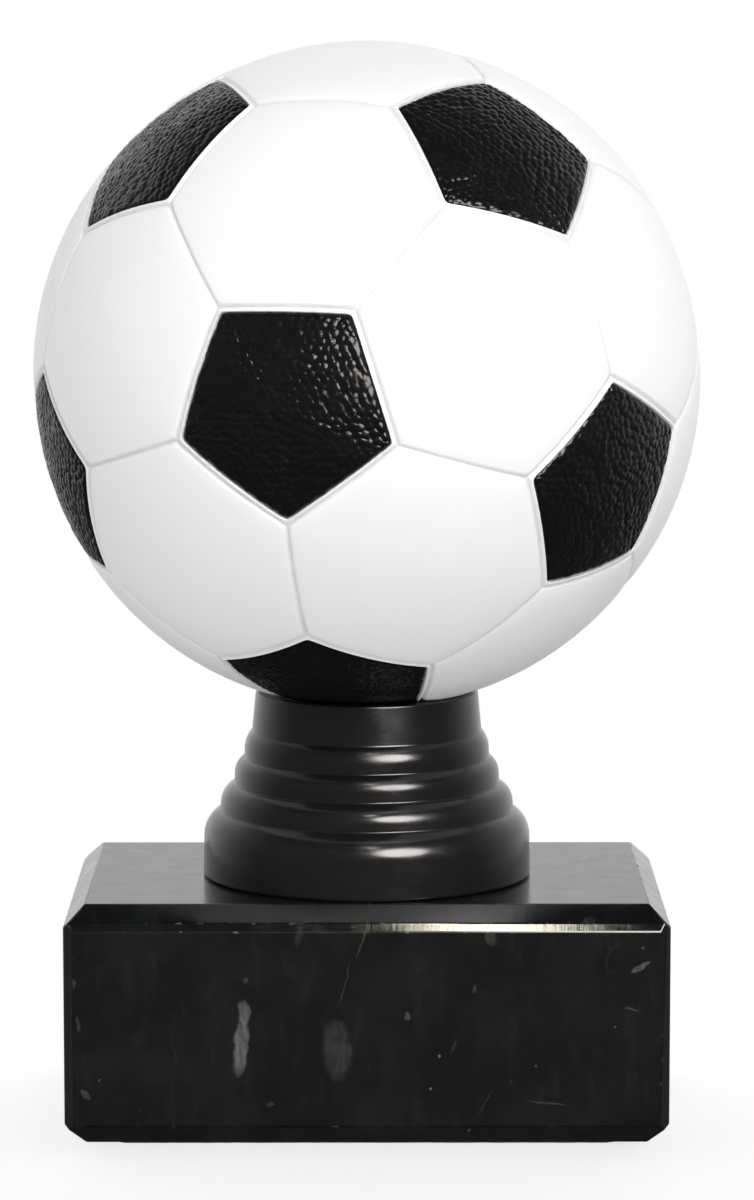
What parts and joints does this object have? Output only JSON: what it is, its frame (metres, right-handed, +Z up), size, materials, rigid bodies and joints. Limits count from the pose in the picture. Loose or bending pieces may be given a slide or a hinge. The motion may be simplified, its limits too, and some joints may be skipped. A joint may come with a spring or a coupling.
{
  "type": "figure trophy",
  "caption": "Small football trophy: a black and white ball on a stepped round pedestal, bolted through a bevelled marble block.",
  "frame": {"origin": "centre of the resting face, the underside of the felt pad", "axes": "+Z up through the rod and the ball's centre, -Y is the front, the wide face of the marble block that takes a plate, +X to the right seen from the front"},
  "size_m": [0.08, 0.08, 0.13],
  "materials": {
    "felt": "dense pressed felt, matt",
    "marble": "polished black marble with fine light veins and flakes",
    "pedestal_plastic": "moulded, satin gloss black",
    "zinc_steel": "bright zinc plated",
    "white_plastic": "moulded, satin gloss white",
    "black_grained": "moulded with a pebble grain, satin black"
  },
  "bodies": {
    "root": {"felt_pad": "felt", "marble_block": "marble", "pedestal": "pedestal_plastic", "threaded_rod": "zinc_steel", "flat_washer": "zinc_steel", "lock_washer": "zinc_steel", "base_nut": "zinc_steel", "ball_nut": "zinc_steel", "nut_cap": "white_plastic", "ball_upper_shell": "white_plastic", "ball_lower_shell": "white_plastic", "black_panel_01": "black_grained", "black_panel_02": "black_grained", "black_panel_03": "black_grained", "black_panel_04": "black_grained", "black_panel_05": "black_grained", "black_panel_06": "black_grained", "black_panel_07": "black_grained", "black_panel_08": "black_grained", "black_panel_09": "black_grained", "black_panel_10": "black_grained", "black_panel_11": "black_grained", "black_panel_12": "black_grained"}
  },
  "joints": []
}
